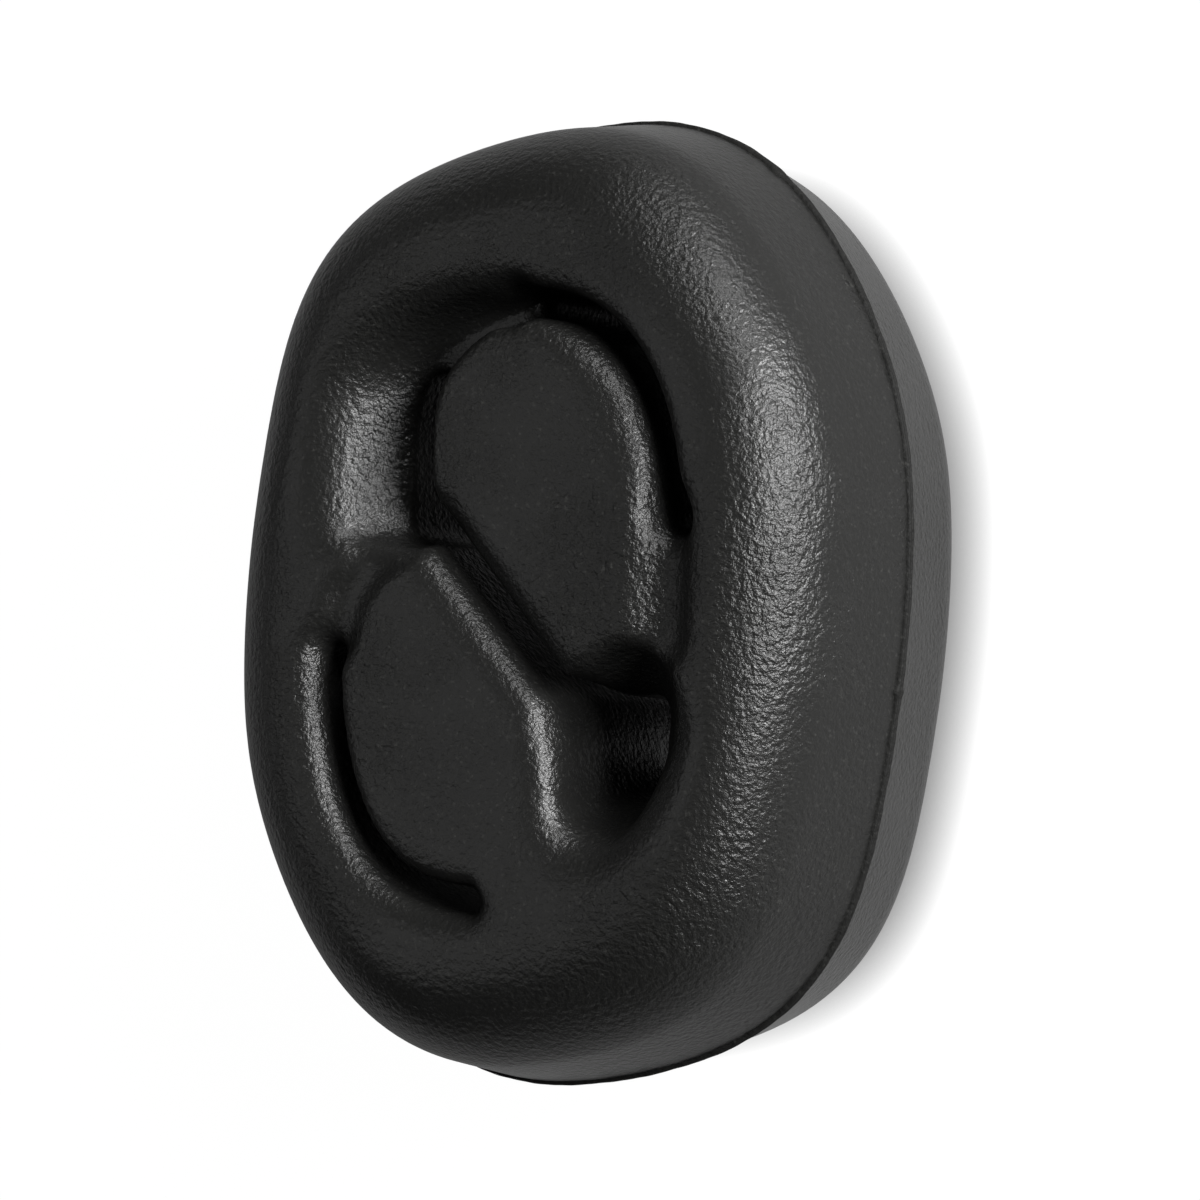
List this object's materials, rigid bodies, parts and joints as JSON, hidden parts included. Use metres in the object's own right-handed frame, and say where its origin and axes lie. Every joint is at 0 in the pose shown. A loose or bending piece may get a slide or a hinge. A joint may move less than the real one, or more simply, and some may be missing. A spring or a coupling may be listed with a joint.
{
  "type": "exhaust hanger",
  "caption": "Thick oval rubber block with two stop lobes, an S-shaped diagonal slit, curved slots and through holes for hook pins; hangs an exhaust pipe under a car.",
  "frame": {"origin": "centre of the part's footprint, on the flat land of the back face", "axes": "+X across the width, +Y along the long axis of the oval, +Z through the thickness from the back face to the front face"},
  "size_m": [0.0524, 0.0706, 0.0292],
  "materials": {
    "black_rubber": "satin moulded rubber with a fine pebbled skin"
  },
  "bodies": {
    "root": {"hanger": "black_rubber"}
  },
  "joints": []
}
